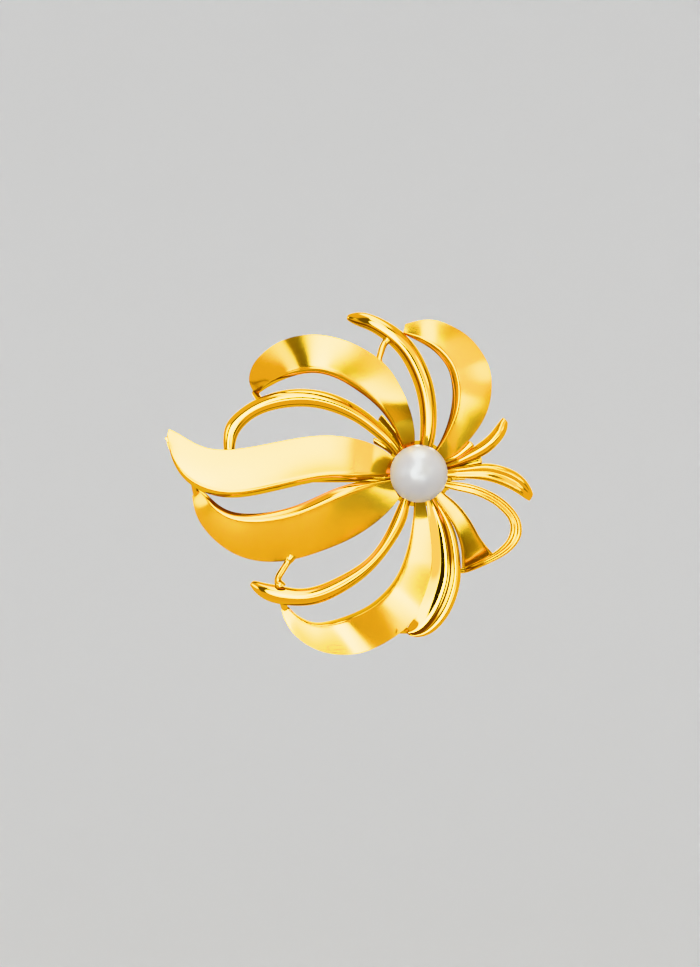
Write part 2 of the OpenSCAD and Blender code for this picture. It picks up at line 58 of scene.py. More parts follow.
MM = 0.001
pearl_low, pearl_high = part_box("pearl")
pearl_middle = (pearl_low + pearl_high) / 2
stem_low, stem_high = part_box("pin_stem")
# The drawn face's zero: the pearl's axis across and up, the pin's axis in depth
FACE_ZERO = Vector((pearl_middle.x, (stem_low.y + stem_high.y) / 2, pearl_middle.z))
# How far the leaves' roots stand in front of the pin's axis, and their sheet's thickness, in mm
ROOT_H = 4.1
SHEET = 0.45
# A ray's crown stands this high, on a base this thick
RAY_HEIGHT = 1.0
RAY_BASE = 0.4
SMOOTH_LEVELS = 2

# ---------------------------------------------------------------- camera
FRAME_HEIGHT = 0.1188
CAMERA_AWAY = 0.5
SENSOR = 36.0
NEAREST_SEEN = 0.01


def add_camera():
    middle = (Vector(cad_low) + Vector(cad_high)) / 2
    bpy.ops.object.camera_add(
        location=(middle.x, -CAMERA_AWAY, middle.z), rotation=(math.radians(90), 0, 0))
    camera = bpy.context.object
    camera.data.sensor_width = SENSOR
    camera.data.lens = SENSOR * CAMERA_AWAY / FRAME_HEIGHT
    camera.data.clip_start = NEAREST_SEEN
    bpy.context.scene.camera = camera


add_camera()

# ---------------------------------------------------------------- outlines
# Each place along a leaf, from the hub to the tip: left x, left y, right x, right y,
# in mm from the pearl's axis
LEFT_UPPER = [
    (-2.4, 1.5, -2.7, -0.1), (-5, 3.4, -5, -0.05), (-7.8, 4.3, -8.1, -0.17),
    (-11, 4.65, -11.2, -0.13), (-14, 4.4, -14.4, -0.75), (-17, 3.85, -17.6, -1.5),
    (-20, 3.25, -20.6, -2.15), (-23, 2.85, -23.4, -2.35), (-25.5, 2.95, -26, -1.75),
    (-27.6, 3.8, -28.2, -0.5), (-29.3, 4.9, -29.9, 1.7), (-30.4, 5.4, -30.6, 4.5)]
LEFT_LOWER = [
    (-2.5, -0.7, -1.8, -2.1), (-4.6, -1, -3, -4), (-7, -1.7, -5.2, -6.05), (-10, -2.8, -8.2, -8),
    (-13, -4.2, -11.4, -9.3), (-16, -5.25, -15, -10.5), (-19, -5.7, -18.6, -10.85),
    (-21.6, -5.65, -22, -10.1), (-23.6, -5.05, -24.6, -8.4), (-25.2, -3.8, -26.4, -6.4),
    (-26.1, -2.6, -27.3, -4.6), (-26.8, -2.05, -27.6, -2.7)]
UPPER_LEFT = [
    (-1.5, 2.3, -0.5, 2.6), (-2.2, 4.4, -0.45, 5), (-3.6, 6.9, -1, 7.6), (-5.2, 8.8, -2.1, 10.2),
    (-7.2, 10.45, -3.7, 12.8), (-9.3, 11.75, -6, 14.7), (-11.4, 12.5, -9, 16.1),
    (-13.4, 12.65, -12.3, 16.8), (-15.3, 12.3, -15.4, 16.55), (-16.9, 11.7, -18, 15.35),
    (-18.1, 11.05, -20, 13.55), (-19, 10.4, -20.7, 11.5), (-19.8, 9.65, -20.2, 10.1)]
TOP_RIGHT = [
    (1.7, 2.2, 2.8, 1.2), (2.6, 3.2, 4, 1.8), (3.6, 4.9, 6.1, 3.9), (4.4, 6.8, 7.6, 5.9),
    (4.8, 8.8, 8.6, 8), (4.85, 10.5, 8.97, 10.5), (4.5, 12.4, 8.7, 12.8), (3.8, 13.7, 7.8, 14.7),
    (2.8, 14.9, 6.2, 16.7), (1.6, 15.8, 4.2, 17.95), (0.3, 16.45, 2, 18.75),
    (-0.8, 16.85, 0, 18.65), (-1.8, 17.2, -1.6, 18.2)]
BOTTOM = [
    (-0.35, -2.7, 0.6, -2.6), (-0.45, -4.6, 1, -4.3), (-0.7, -7, 1.4, -7), (-1.1, -9.2, 1.65, -10),
    (-1.8, -11.5, 1.35, -12.9), (-2.8, -13.4, 0.45, -15.5), (-4.2, -15.1, -0.7, -17.9),
    (-5.8, -16.4, -2.4, -19.5), (-7.6, -17.35, -4.8, -21.05), (-9.6, -18.1, -7.6, -22),
    (-11.6, -18.5, -10.6, -22.05), (-13.2, -18.35, -13.2, -21.1), (-14.7, -17.55, -15.2, -19.6),
    (-15.7, -16.7, -16.4, -17.6), (-16.1, -16.3, -16.7, -16.4)]
BOTTOM_RIGHT = [
    (0.8, -2.6, 1.6, -2.3), (1.1, -4.2, 2.5, -3.6), (1.25, -6.4, 3.9, -5.6),
    (1.4, -8.5, 4.75, -7.9), (1.5, -10.5, 5.1, -10.4), (1.35, -12.2, 5.2, -12.6),
    (0.9, -13.6, 4.8, -14.6), (0.4, -15, 4.1, -16.5), (-0.25, -16.5, 3, -18.2),
    (-0.8, -17.7, 1.6, -19.5), (-1.2, -18.6, 0, -20), (-1.6, -19.1, -1.2, -19.7)]
LOWER_RIGHT = [
    (1.7, -2.2, 2.3, -1.6), (2.4, -3.4, 3.3, -2.5), (3.5, -5.1, 4.7, -3.6), (4.35, -6.5, 5.9, -5),
    (4.95, -8, 6.8, -6.4), (5.25, -9.3, 7.5, -7.7), (5.35, -10.6, 8.4, -8.9),
    (5.35, -11.8, 9.5, -10.1)]
LOOP_RIGHT = [
    (2.9, -0.8, 2.6, -1.5), (4.4, -0.98, 4.3, -2), (6.2, -1.23, 6, -2.35), (8, -1.8, 7.4, -2.8),
    (9.8, -2.7, 9, -3.6), (11.3, -3.95, 10.2, -4.6), (12.4, -5.5, 11.1, -5.75),
    (12.65, -7.3, 11.2, -7), (11.9, -8.8, 10.8, -8.1), (10.6, -9.95, 10, -9),
    (9, -10.8, 8.8, -9.9), (7.4, -11.55, 7.2, -10.7), (6, -12.1, 5.9, -11.3),
    (5.2, -12.2, 5.2, -11.6)]
RAY_UPPER_LEFT = [
    (-2.7, 2, -2, 2.8), (-3.6, 3.2, -2.9, 4.3), (-5.4, 4.6, -5.2, 6.75), (-7.4, 6.15, -7.6, 8.45),
    (-9.8, 7.3, -10.2, 9.7), (-12.8, 8.15, -13.2, 10.35), (-16, 8.1, -16.2, 10.25),
    (-18.6, 7.5, -18.9, 9.5), (-20.3, 6.65, -21, 8.4), (-21.6, 5.4, -22.9, 6.85),
    (-22.25, 4.1, -23.8, 5.2), (-22.4, 2.5, -23.7, 2.5)]
RAY_TOP = [
    (0.2, 2.7, 1.3, 2.3), (0.15, 4, 1.95, 3.6), (0.25, 6, 2.25, 5.9), (0.1, 8.3, 2.25, 8.2),
    (-0.4, 10.5, 1.9, 10.7), (-1.2, 12.5, 1.1, 13), (-2.2, 14.3, -0.1, 15.3),
    (-3.5, 15.7, -1.7, 17.1), (-4.9, 16.8, -3.5, 18.4), (-6.3, 17.6, -5.6, 19.4),
    (-7.7, 18.1, -7.3, 19.75), (-8.8, 18.85, -8.6, 19.4)]
RAY_UPPER_RIGHT = [
    (2.6, 0.95, 2.7, 0.55), (4, 1.5, 4.3, 0.85), (5.6, 2.5, 6.2, 1.5), (7.2, 3.6, 8, 2.15),
    (8.5, 4.6, 9.3, 3.15), (9.4, 5.75, 10.3, 4.3), (9.95, 6.45, 10.8, 5.3),
    (10.3, 6.85, 10.9, 6.3)]
RAY_RIGHT = [
    (2.7, 0.4, 2.8, -0.4), (4.2, 0.7, 4.2, -0.55), (6.2, 0.98, 6.2, -0.62), (8.2, 1.3, 8, -0.8),
    (10, 1, 9.5, -1.2), (11.7, 0.4, 11, -1.8), (13, -0.6, 12.3, -2.55), (13.8, -1.8, 13.1, -3.1),
    (14.05, -2.6, 13.6, -3.35)]
RAY_LOWER_LEFT = [
    (-1, -2.7, -1.8, -2.4), (-1.1, -4.7, -2.6, -4.2), (-1.8, -6.6, -3.4, -6.1),
    (-3, -8.6, -4.6, -8.4), (-4.6, -10.8, -6.2, -10.4), (-6.6, -12.8, -8.2, -11.75),
    (-9, -14.4, -10.4, -12.9), (-11.6, -15.75, -12.6, -13.8), (-14.2, -16.2, -14.8, -14.1),
    (-17, -15.95, -17, -13.6), (-18.9, -15.35, -18.6, -13.4), (-20.1, -14.3, -19.7, -13.1),
    (-20.6, -13.5, -20.2, -13.1)]
STRIP = [
    (2.3, 1.6, 2.8, 1.1), (4.4, 2.3, 4.85, 1.8), (6.2, 4.1, 6.9, 3.4)]

# ---------------------------------------------------------------- drawing and lofting
EVENINGS = 2
LEAST_HEIGHT = 0.05


def curve(points, share):
    """A smooth curve through numbers or Vectors, at a share of the way along them."""
    last = len(points) - 1
    x = min(max(share, 0.0), 1.0) * last
    i = min(int(x), last - 1)
    f = x - i
    a, b, c, d = points[max(i - 1, 0)], points[i], points[i + 1], points[min(i + 2, last)]
    square = (2 * a - 5 * b + 4 * c - d) * f * f
    cube = (3 * b - a - 3 * c + d) * f ** 3
    return 0.5 * (2 * b + (c - a) * f + square + cube)


def evened(values):
    """The values, each inner one drawn towards its neighbours, so that reflections run smoothly."""
    inner = [(values[i - 1] + 2 * values[i] + values[i + 1]) / 4
             for i in range(1, len(values) - 1)]
    return [values[0]] + inner + [values[-1]]


def stations(rails, rise, tilt, height, steps):
    """Where the section stands at each step, and its width, height and tilt there."""
    left = [curve([Vector(r[:2]) for r in rails], i / steps) for i in range(steps + 1)]
    right = [curve([Vector(r[2:]) for r in rails], i / steps) for i in range(steps + 1)]
    for _ in range(EVENINGS):
        left, right = evened(left), evened(right)
    rows = []
    for i in range(steps + 1):
        share = i / steps
        across = right[i] - left[i]
        middle = (left[i] + right[i]) / 2
        rows.append({
            "centre": Vector((middle.x, middle.y, ROOT_H + curve(rise, share))),
            "yaw": math.atan2(across.y, across.x),
            "tilt": math.radians(curve(tilt, share)),
            "width": across.length / math.cos(math.radians(curve(tilt, share))),
            "height": max(curve(height, share), LEAST_HEIGHT),
        })
    return rows


def rest():
    """Leaves edit mode and deselects everything."""
    if bpy.context.object and bpy.context.object.mode == "EDIT":
        bpy.ops.object.mode_set(mode="OBJECT")
    bpy.ops.object.select_all(action="DESELECT")


def turn(angle, axis, centre):
    bpy.ops.transform.rotate(
        value=-angle, orient_axis=axis, orient_type="GLOBAL", center_override=centre)


def draw_section(points, closed):
    """Draws the section as a run of edges: a plane shrunk to a point and extruded along it."""
    rest()
    bpy.ops.mesh.primitive_plane_add(size=1)
    bpy.ops.object.mode_set(mode="EDIT")
    bpy.ops.mesh.select_all(action="SELECT")
    bpy.ops.mesh.merge(type="CENTER")
    bpy.ops.transform.translate(value=(points[0][0], 0, points[0][1]))
    for here, there in zip(points, points[1:]):
        step = (there[0] - here[0], 0, there[1] - here[1])
        bpy.ops.mesh.extrude_region_move(TRANSFORM_OT_translate={"value": step})
    if closed:
        bpy.ops.object.mode_set(mode="OBJECT")
        vertices = bpy.context.object.data.vertices
        for v in vertices:
            v.select = v.index in (0, len(vertices) - 1)
        bpy.ops.object.mode_set(mode="EDIT")
        bpy.ops.mesh.edge_face_add()
    bpy.ops.mesh.select_all(action="SELECT")


def loft(name, section, closed, rows):
    """Extrudes the section from row to row, each with its own width, height, tilt and direction."""
    draw_section(section, closed)
    before = {"centre": Vector((0, 0, 0)), "yaw": 0, "tilt": 0, "width": 1, "height": 1}
    for i, row in enumerate(rows):
        if i:
            bpy.ops.mesh.extrude_region_move()
        at = before["centre"]
        turn(-before["yaw"], "Z", at)
        turn(before["tilt"], "Y", at)
        scale = (row["width"] / before["width"], 1, row["height"] / before["height"])
        bpy.ops.transform.resize(value=scale, center_override=at)
        turn(-row["tilt"], "Y", at)
        turn(row["yaw"], "Z", at)
        bpy.ops.transform.translate(value=row["centre"] - at)
        before = row
    if closed:
        bpy.ops.mesh.edge_face_add()
    rest()
    piece = bpy.context.object
    piece.name = name
    piece.data.name = name
    if closed:
        close_start(piece, len(section))
    map_length(piece, rows, section)
    face_out(piece, closed)
    return piece


def close_start(piece, count):
    """Fills the first section, which the extrusion left open."""
    for v in piece.data.vertices:
        v.select = v.index < count
    for e in piece.data.edges:
        e.select = all(i < count for i in e.vertices)
    bpy.ops.object.mode_set(mode="EDIT")
    bpy.ops.mesh.edge_face_add()
    rest()


def map_length(piece, rows, section):
    """A map whose u runs along the piece and whose v runs across it, both in millimetres."""
    along = [0.0]
    for a, b in zip(rows, rows[1:]):
        along.append(along[-1] + (b["centre"] - a["centre"]).length)
    layer = piece.data.uv_layers.new(name="length")
    for loop in piece.data.loops:
        row, place = divmod(loop.vertex_index, len(section))
        layer.data[loop.index].uv = (along[row], section[place][0] * rows[row]["width"])


def face_out(piece, closed):
    """Turns the faces outwards, or towards the front on an open sheet."""
    bpy.context.view_layer.objects.active = piece
    bpy.ops.object.mode_set(mode="EDIT")
    bpy.ops.mesh.select_all(action="SELECT")
    bpy.ops.mesh.normals_make_consistent(inside=False)
    if not closed:
        bpy.ops.object.mode_set(mode="OBJECT")
        upward = sum(p.normal.z * p.area for p in piece.data.polygons)
        bpy.ops.object.mode_set(mode="EDIT")
        if upward < 0:
            bpy.ops.mesh.flip_normals()
    rest()


def apply_modifier(piece, kind, **settings):
    modifier = piece.modifiers.new(kind.title(), kind)
    for key, value in settings.items():
        setattr(modifier, key, value)
    bpy.context.view_layer.objects.active = piece
    bpy.ops.object.modifier_apply(modifier=modifier.name)


def stand_up(piece):
    """Turns the drawn face upright, in metres, on the frame's own axes of pearl and pin."""
    rest()
    bpy.context.view_layer.objects.active = piece
    piece.select_set(True)
    bpy.ops.object.mode_set(mode="EDIT")
    bpy.ops.mesh.select_all(action="SELECT")
    bpy.ops.transform.resize(value=(MM, MM, MM), center_override=(0, 0, 0))
    turn(math.radians(90), "X", (0, 0, 0))
    bpy.ops.transform.translate(value=FACE_ZERO)
    rest()


def finish_piece(piece, material, slot, *nodes, body="root"):
    stand_up(piece)
    if not piece.data.materials:
        piece.data.materials.append(material)
    for p in piece.data.polygons:
        p.use_smooth = True
    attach(piece, body)
    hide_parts(*nodes)
    return piece


# ---------------------------------------------------------------- materials


def new_material(name):
    material = bpy.data.materials.new(name)
    material.use_nodes = True
    nodes = material.node_tree.nodes
    return material, nodes, material.node_tree.links, nodes["Principled BSDF"]


def add_node(nodes, kind, **settings):
    made = nodes.new(kind)
    for key, value in settings.items():
        setattr(made, key, value)
    return made


GOLD = (1.0, 0.69, 0.085, 1.0)
GOLD_EDGE = (1.0, 0.75, 0.3, 1.0)


def polished_gold():
    material, nodes, links, shader = new_material("polished gold")
    shader.inputs["Base Color"].default_value = GOLD
    shader.inputs["Specular Tint"].default_value = GOLD_EDGE
    shader.inputs["Metallic"].default_value = 1.0
    place = add_node(nodes, "ShaderNodeTexCoord")
    cloud = add_node(nodes, "ShaderNodeTexNoise")
    cloud.inputs["Scale"].default_value = 500.0
    cloud.inputs["Detail"].default_value = 4.0
    links.new(place.outputs["Object"], cloud.inputs["Vector"])
    spread = add_node(nodes, "ShaderNodeMapRange")
    spread.inputs["To Min"].default_value = 0.02
    spread.inputs["To Max"].default_value = 0.06
    links.new(cloud.outputs["Fac"], spread.inputs["Value"])
    links.new(spread.outputs["Result"], shader.inputs["Roughness"])
    return material


def satin_gold():
    material, nodes, links, shader = new_material("satin gold")
    shader.inputs["Base Color"].default_value = GOLD
    shader.inputs["Specular Tint"].default_value = GOLD_EDGE
    shader.inputs["Metallic"].default_value = 1.0
    shader.inputs["Anisotropic"].default_value = 0.85
    shader.inputs["Anisotropic Rotation"].default_value = 0.25
    lengthwise = add_node(nodes, "ShaderNodeUVMap", uv_map="length")
    brushed = add_node(nodes, "ShaderNodeMapping")
    brushed.inputs["Scale"].default_value = (0.35, 22.0, 1.0)
    links.new(lengthwise.outputs["UV"], brushed.inputs["Vector"])
    hairs = add_node(nodes, "ShaderNodeTexNoise")
    hairs.inputs["Scale"].default_value = 1.0
    hairs.inputs["Detail"].default_value = 6.0
    links.new(brushed.outputs["Vector"], hairs.inputs["Vector"])
    spread = add_node(nodes, "ShaderNodeMapRange")
    spread.inputs["To Min"].default_value = 0.14
    spread.inputs["To Max"].default_value = 0.24
    links.new(hairs.outputs["Fac"], spread.inputs["Value"])
    links.new(spread.outputs["Result"], shader.inputs["Roughness"])
    bump = add_node(nodes, "ShaderNodeBump")
    bump.inputs["Strength"].default_value = 0.04
    bump.inputs["Distance"].default_value = 0.00002
    links.new(hairs.outputs["Fac"], bump.inputs["Height"])
    links.new(bump.outputs["Normal"], shader.inputs["Normal"])
    tangent = add_node(nodes, "ShaderNodeTangent", direction_type="UV_MAP", uv_map="length")
    links.new(tangent.outputs["Tangent"], shader.inputs["Tangent"])
    return material


def pearl_nacre():
    material, nodes, links, shader = new_material("nacre")
    shader.inputs["Base Color"].default_value = (0.78, 0.78, 0.79, 1.0)
    shader.inputs["Roughness"].default_value = 0.32
    shader.inputs["Specular IOR Level"].default_value = 0.2
    shader.inputs["Coat Weight"].default_value = 1.0
    shader.inputs["Coat Roughness"].default_value = 0.34
    place = add_node(nodes, "ShaderNodeTexCoord")
    swell = add_node(nodes, "ShaderNodeTexNoise")
    swell.inputs["Scale"].default_value = 420.0
    swell.inputs["Detail"].default_value = 1.0
    links.new(place.outputs["Object"], swell.inputs["Vector"])
    bump = add_node(nodes, "ShaderNodeBump")
    bump.inputs["Strength"].default_value = 0.15
    bump.inputs["Distance"].default_value = 0.00005
    links.new(swell.outputs["Fac"], bump.inputs["Height"])
    links.new(bump.outputs["Normal"], shader.inputs["Normal"])
    links.new(bump.outputs["Normal"], shader.inputs["Coat Normal"])
    return material


gold = polished_gold()
satin = satin_gold()
nacre = pearl_nacre()

# ---------------------------------------------------------------- sections
# Across from -0.5 to 0.5, with heights in mm
WALL_DROP = 0.9
WALL_LEAN = 0.1
WALL_PLACES = 6
CROWN_STEP = 15
SHOULDER = 1.03


def leaf_section(bow):
    """An open sheet: its left edge rolls into a wall that turns down, its right edge is cut."""
    wall = [(-0.5 - WALL_LEAN, -WALL_DROP), (-0.5 - 0.7 * WALL_LEAN, -0.5),
            (-0.5 - 0.35 * WALL_LEAN, -0.12), (-0.5, 0.08), (-0.475, 0.12), (-0.45, 0.05)]
    flat = [(u, bow * (1 - 4 * u * u))
            for u in (-0.42, -0.3, -0.15, 0, 0.15, 0.3, 0.42, 0.5)]
    return wall + flat


def mirrored(section):
    return [(-u, z) for u, z in reversed(section)]


def ray_section(height, base):
    """A closed bar with a rounded crown and a flat back."""
    arc = []
    for degrees in range(CROWN_STEP, 180, CROWN_STEP):
        a = math.radians(degrees)
        arc.append((-0.5 * rounded(math.cos(a)), height * rounded(math.sin(a))))
    return [(-0.5, -base), (-0.5, 0)] + arc + [(0.5, 0), (0.5, -base)]


def rounded(value):
    """Fills out a circle's shoulders a little."""
    return math.copysign(abs(value) ** SHOULDER, value)


ROUND = [(0.5 * math.cos(math.radians(a)), 0.5 * math.sin(math.radians(a)))
         for a in range(0, 360, 30)]
TWO_RIDGES = [
    (-0.5, -0.4), (-0.5, 0.2), (-0.46, 0.5), (-0.38, 0.7), (-0.27, 0.8), (-0.15, 0.7),
    (-0.03, 0.58), (0.08, 0.6), (0.2, 0.72), (0.29, 0.76), (0.39, 0.66), (0.46, 0.42), (0.5, 0.15),
    (0.5, -0.4)]
TROUGH = [
    (-0.5, -0.5), (-0.5, 0.1), (-0.48, 0.32), (-0.43, 0.28), (-0.32, 0.15), (-0.16, 0),
    (-0.02, -0.04), (0.06, 0), (0.13, 0.12), (0.22, 0.34), (0.29, 0.48), (0.35, 0.54), (0.41, 0.5),
    (0.46, 0.3), (0.5, -0.1), (0.5, -0.5)]
RIBBON = [
    (-0.5, -0.5), (-0.5, 0.16), (-0.48, 0.26), (-0.45, 0.22), (-0.41, 0.04), (-0.2, 0), (0, 0),
    (0.2, 0), (0.41, 0.04), (0.45, 0.22), (0.48, 0.26), (0.5, 0.16), (0.5, -0.5)]
WEB = [(-0.5, -0.3), (-0.5, 0), (-0.2, 0.05), (0.2, 0.05), (0.5, 0), (0.5, -0.3)]

# ---------------------------------------------------------------- leaves
LEAF_EDGE = 0.08
LEAF_HEIGHTS = [0.4, 1, 1, 0.8, 0.3]
SHARP = 50


def leaf(name, rails, rise, tilt, height=LEAF_HEIGHTS, steps=30, bow=0.15, wall_right=False):
    """A satin sheet with one polished wall. Rise and tilt are listed from the hub to the tip."""
    section = leaf_section(bow)
    if wall_right:
        section = mirrored(section)
    piece = loft(name, section, False, stations(rails, rise, tilt, height, steps))
    piece.data.materials.append(satin)
    piece.data.materials.append(gold)
    count = len(section)
    wall = range(count - WALL_PLACES, count) if wall_right else range(WALL_PLACES)
    for p in piece.data.polygons:
        p.material_index = int(all(i % count in wall for i in p.vertices))
    apply_modifier(piece, "SOLIDIFY", thickness=SHEET, offset=-1, material_offset_rim=1)
    apply_modifier(piece, "BEVEL", width=LEAF_EDGE, segments=2, limit_method="ANGLE",
                   angle_limit=math.radians(SHARP))
    apply_modifier(piece, "SUBSURF", levels=SMOOTH_LEVELS, render_levels=SMOOTH_LEVELS)
    return finish_piece(piece, satin, "satin_gold", name)


def ray(name, rails, rise, height, steps=30, tilt=(0, 0), section=None, material=gold,
        slot="polished_gold"):
    """A closed bar of one section, listed from the hub to the tip."""
    section = section or ray_section(RAY_HEIGHT, RAY_BASE)
    piece = loft(name, section, True, stations(rails, rise, tilt, height, steps))
    apply_modifier(piece, "SUBSURF", levels=SMOOTH_LEVELS, render_levels=SMOOTH_LEVELS)
    return finish_piece(piece, material, slot, name)


leaf("petal_left_upper", LEFT_UPPER, [-0.3, 1.2, 1.5, 1.5, 1.3, 1.0, 0.65, 0.2, -0.4],
     [6, 9, 9, 8, 7, 8, 8, 9], wall_right=True)
leaf("petal_left_lower", LEFT_LOWER, [-0.2, 0.1, 0.2, 0.2, 0, -0.5, -1.2],
     [-6, -27, -27, -24, -22, -12])
leaf("petal_upper_left", UPPER_LEFT,
     [-0.3, 0.9, 2.0, 2.85, 3.4, 3.75, 3.95, 4.05, 4.0, 3.75, 3.2, 2.4, 1.4, 0.4, -0.6, -1.5, -2.2],
     [0, -1, -3, -4, -4, -4, -3, -3, 0], [0.4, 1, 1, 0.9, 0.2], steps=64, bow=0.08)
leaf("petal_top_right", TOP_RIGHT, [0, 0.9, 1.5, 1.6, 1.4, 1.0, 0.4],
     [-4, -16, -20, -20, -18, -14])
leaf("petal_bottom", BOTTOM, [0, 1.1, 1.9, 2.0, 1.1, -0.4, -0.7, -0.95, -1.3],
     [4, 4, 3, 3, 3, 3, 6, 6, 4], steps=40, bow=0.06)
ray("petal_bottom_right", BOTTOM_RIGHT, [0, 0.5, 0.7, 0.7, 0.4, -0.1], [0.6, 1, 1, 1, 0.8, 0.5],
    tilt=(2, 4, 4, 2), section=TROUGH)
ray("ribbon_lower_right", LOWER_RIGHT, [0, -0.6, -1.6, -2.5], [0.5, 1, 1, 1], steps=24,
    tilt=(4, 0, 0, 0), section=RIBBON, material=satin, slot="satin_gold")
ray("loop_right", LOOP_RIGHT, [-0.5, 0, 0.2, 0, -0.9, -2.3], [0.6, 0.9, 0.9, 0.9, 0.8, 0.6, 0.4],
    steps=44, section=TWO_RIDGES)
ray("ray_upper_left", RAY_UPPER_LEFT, [-0.5, 0, 0.4, 0.4, 0.2, -0.1, -0.25],
    [0.8, 1.1, 1.1, 1, 0.8, 0.6])
ray("ray_top", RAY_TOP, [-0.5, 0, 0.4, 0.5, 0.1, -0.8], [0.8, 1, 1.1, 1.1, 0.8, 0.3])
ray("ray_upper_right", RAY_UPPER_RIGHT, [-0.4, 0.2, 0.6, 0.5], [0.5, 0.8, 1, 0.4], steps=20)
ray("ray_right", RAY_RIGHT, [-0.5, -0.1, -0.2, -0.9], [0.9, 1.3, 1.3, 0.6], steps=24,
    section=TWO_RIDGES)
ray("ray_lower_left", RAY_LOWER_LEFT, [-0.6, -0.1, 0.1, -0.2, -0.7, -1.3],
    [0.8, 0.9, 1, 1.1, 0.9, 0.3])
ray("strip_upper_right", STRIP, [-0.1, 0.3, 0.6], [0.3, 0.35, 0.35], steps=10)
ray("web_upper_left", [(-2.3, 2.7, -1.7, 3), (-3.2, 4.6, -2.4, 4.9), (-5, 6.5, -4.5, 7.4)],
    [-0.3, -1.2, -2.4], [1, 1], steps=10, section=WEB)
ray("web_middle_left", [(-2.6, 1.6, -2.3, 2.2), (-3.9, 2.8, -3.6, 3.5), (-5.5, 3.7, -5.5, 4.5)],
    [-0.4, -1.2, -2.3], [1, 1], steps=10, section=WEB)
ray("web_right", [(2.9, 0.1, 2.8, 0.7), (5, 0.5, 5.1, 1.3), (7.9, 1.1, 7.7, 2.3)],
    [-0.9, -0.9, -1.1], [1, 1], steps=10, section=WEB)

# ---------------------------------------------------------------- hub
BOSS_STEPS = 64
BOSS_EDGE = 0.1
BOSS_SHARP = 20
JOINED_WITHIN = 0.001


def boss(name, profile):
    """A turned piece: the profile's radii and heights spun round the pearl's axis."""
    draw_section(profile, False)
    bpy.ops.mesh.spin(steps=BOSS_STEPS, angle=math.tau, center=(0, 0, 0), axis=(0, 0, 1))
    bpy.ops.mesh.select_all(action="SELECT")
    bpy.ops.mesh.remove_doubles(threshold=JOINED_WITHIN)
    bpy.ops.mesh.normals_make_consistent(inside=False)
    rest()
    piece = bpy.context.object
    piece.name = name
    apply_modifier(piece, "BEVEL", width=BOSS_EDGE, segments=3, limit_method="ANGLE",
                   angle_limit=math.radians(BOSS_SHARP))
    return finish_piece(piece, gold, "polished_gold", name)


boss("hub_boss", [(0, 2.6), (4.05, 2.6), (4.05, 3.3), (3.2, 4.45), (2.4, 4.6), (0, 4.6)])

# ---------------------------------------------------------------- struts


def tube(name, rows, steps=32):
    """A bent tube. A row is the middle's x, y and rise, the width and the way across in degrees."""
    rails = []
    for x, y, _, width, across in rows:
        a = math.radians(across)
        rails.append((x - width / 2 * math.cos(a), y - width / 2 * math.sin(a),
                      x + width / 2 * math.cos(a), y + width / 2 * math.sin(a)))
    return ray(name, rails, [row[2] for row in rows], [row[3] for row in rows], steps=steps,
               section=ROUND)


# Each has a wider collar at both feet
tube("strut_top", [
    (-5.05, 13.0, 3.0, 1.3, 20), (-4.95, 13.4, 2.9, 1.25, 15), (-4.85, 13.8, 2.6, 0.85, 10),
    (-4.6, 14.6, 2.0, 0.85, 0), (-4.35, 15.4, 1.4, 0.85, -10), (-4.0, 16.0, 0.9, 0.9, -25),
    (-3.6, 16.4, 0.6, 1.3, -35), (-3.2, 16.7, 0.2, 1.3, -40)])
tube("strut_lower_left", [
    (-15.4, -9.9, -1.3, 1.3, -25), (-15.7, -10.4, -1.3, 1.25, -25),
    (-16.0, -10.9, -1.2, 0.85, -25), (-16.5, -11.7, -0.8, 0.85, -25),
    (-17.0, -12.5, -0.4, 0.85, -20), (-17.1, -13.0, -0.1, 0.9, 0),
    (-16.9, -13.4, 0.1, 1.25, 15), (-16.7, -13.8, 0.1, 1.3, 20)])

# ---------------------------------------------------------------- carried-over nodes


def dress(material, *names):
    for name in names:
        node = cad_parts[name]
        node.data.materials.clear()
        node.data.materials.append(material)


dress(nacre, "pearl")
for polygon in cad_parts["pearl"].data.polygons:
    polygon.use_smooth = True
dress(gold, "pearl_cup", "tie_left", "tie_upper_left", "tie_lower_left", "tie_bottom",
      "hinge_base", "hinge_ear_upper", "hinge_ear_lower", "hinge_rivet", "catch_post",
      "catch_housing", "pearl_peg", "pin_eye", "pin_stem", "catch_sleeve", "catch_lever")

# ---------------------------------------------------------------- stage and light
WHITE = (0.94, 1, 0.97)
WARM = (1, 0.67, 0.4)
GOLDEN = (1, 0.8, 0.5)


def aim(away, around):
    """A direction that many degrees away from straight ahead of the face, and that far round it."""
    a, r = math.radians(away), math.radians(around)
    return Vector((math.sin(a) * math.cos(r), -math.cos(a), math.sin(a) * math.sin(r)))


# What the metal reflects: direction, full to one angle and gone at the next, brightness and tint
WORLD_PATCHES = [
    (aim(180, 0), 70, 90, 0.8, GOLDEN),
    (aim(168, 90), 12, 30, 2.5, WHITE),
    (aim(0, 0), 52, 57, 0.16, WARM),
    (aim(4, 100), 31, 37, 9.0, WHITE),
    (aim(28, 0), 12, 24, 5.0, WHITE),
    (aim(17, 175), 6, 15, 14.0, WHITE),
    (aim(80, 90), 14, 26, 6.0, WHITE),
    (aim(48, -100), 24, 28, 0.8, WARM),
    (aim(50, -142), 17, 20, 0.8, WARM),
    (aim(38, 30), 24, 30, 1.8, (1, 0.86, 0.45)),
    (aim(50, 97), 8, 13, 7.0, WHITE),
    (aim(66, 170), 8, 13, 5.0, WHITE),
    (aim(53, 18), 7, 11, 5.0, WHITE),
    (aim(0, 0), 10.5, 13, 0.03, WARM),
]
WORLD_BASE = 0.85
SOFT_LIGHT = 0.95
AFTER_FIRST_GOLD = 1.5
DIMMED = (0.22, 0.17, 0.1, 1)
# The colour Mix node's sockets, which share their names with its other kinds
MIX_A, MIX_B, MIX_RESULT = 6, 7, 2


